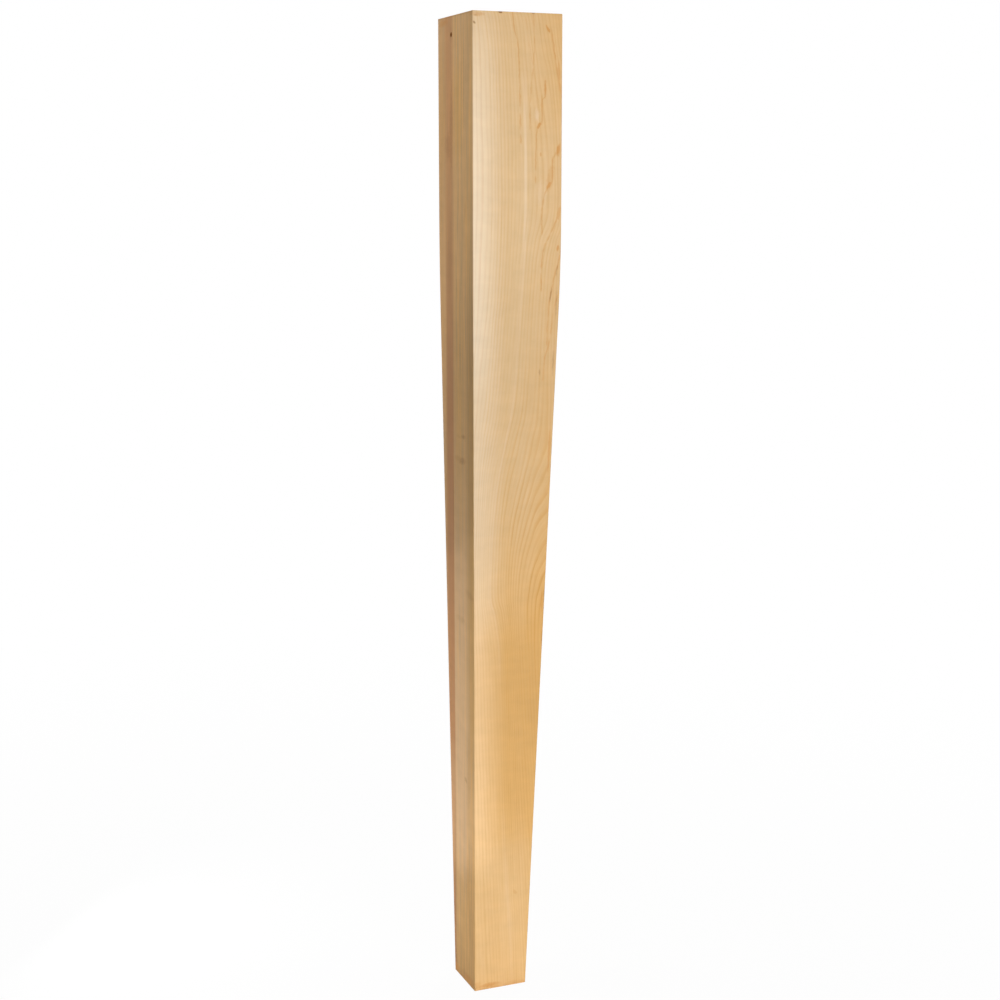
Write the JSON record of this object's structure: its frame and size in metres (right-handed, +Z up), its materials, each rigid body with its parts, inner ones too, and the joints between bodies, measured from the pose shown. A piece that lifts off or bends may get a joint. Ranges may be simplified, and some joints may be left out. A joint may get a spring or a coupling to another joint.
{
  "type": "tapered furniture leg",
  "caption": "Square wooden table leg with a straight block at the top, tapered on its two inner faces to a smaller square foot.",
  "frame": {"origin": "in the foot plane, under the centre of the square block at the top", "axes": "+Z up along the leg; +X and +Y point out of the two inner faces, which the taper is on; -X and -Y point out of the two flat outer faces"},
  "size_m": [0.0698, 0.0698, 0.7366],
  "materials": {
    "maple": "sanded bare maple with brown mineral streaks"
  },
  "bodies": {
    "root": {"leg": "maple"}
  },
  "joints": []
}
